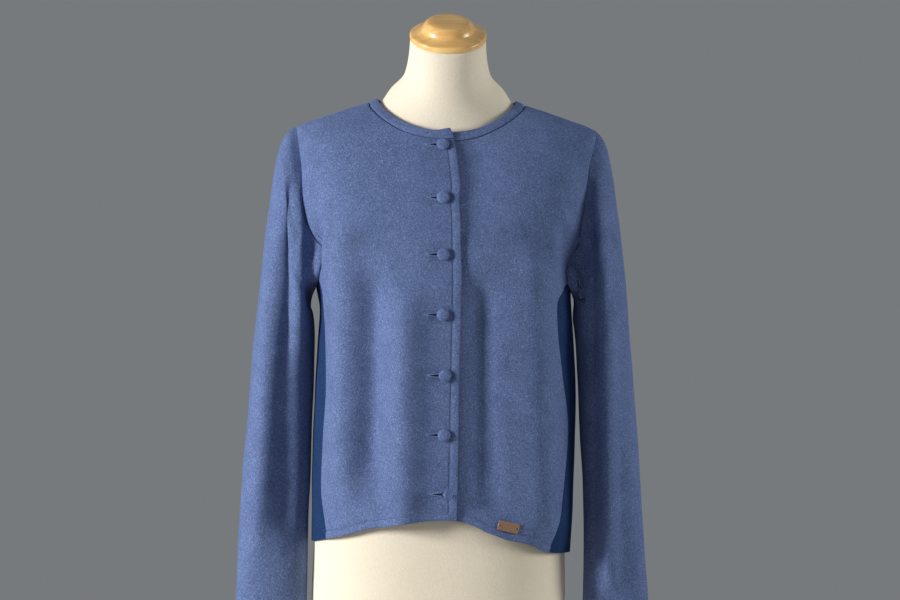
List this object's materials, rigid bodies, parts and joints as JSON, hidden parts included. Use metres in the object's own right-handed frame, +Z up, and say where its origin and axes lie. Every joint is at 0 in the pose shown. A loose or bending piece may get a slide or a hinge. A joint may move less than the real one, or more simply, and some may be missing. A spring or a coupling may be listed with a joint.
{
  "type": "knit cardigan on dress form",
  "caption": "Round-neck boiled-wool cardigan with dark side panels and covered buttons, buttoned up on a limbless jersey-covered dress form with a turned wooden neck cap.",
  "frame": {"origin": "centre of the dress form's flat underside, on the surface that it stands on", "axes": "+Z up, the front of the cardigan faces -Y, +X towards the wearer's left"},
  "size_m": [0.5368, 0.2571, 0.8537],
  "materials": {
    "jersey": "cream cotton jersey, drawn tight over the form, matt",
    "cap_wood": "honey-coloured turned wood, varnished",
    "blue_wool": "mid-blue heathered boiled wool with a short fuzzy nap",
    "navy_wool": "dark navy heathered boiled wool with a short fuzzy nap",
    "covered_button": "button covered with the cardigan's own blue wool",
    "label_leather": "small plain brown leather tag, matt, with nothing on it"
  },
  "bodies": {
    "root": {"form_torso": "jersey", "neck_cap": "cap_wood", "front_right": "blue_wool", "front_left": "blue_wool", "back": "blue_wool", "side_panel_right": "navy_wool", "side_panel_left": "navy_wool", "sleeve_right": "blue_wool", "sleeve_left": "blue_wool", "neckband": "blue_wool", "button_1": "covered_button", "button_2": "covered_button", "button_3": "covered_button", "button_4": "covered_button", "button_5": "covered_button", "button_6": "covered_button", "button_7": "covered_button", "hem_label": "label_leather"}
  },
  "joints": []
}
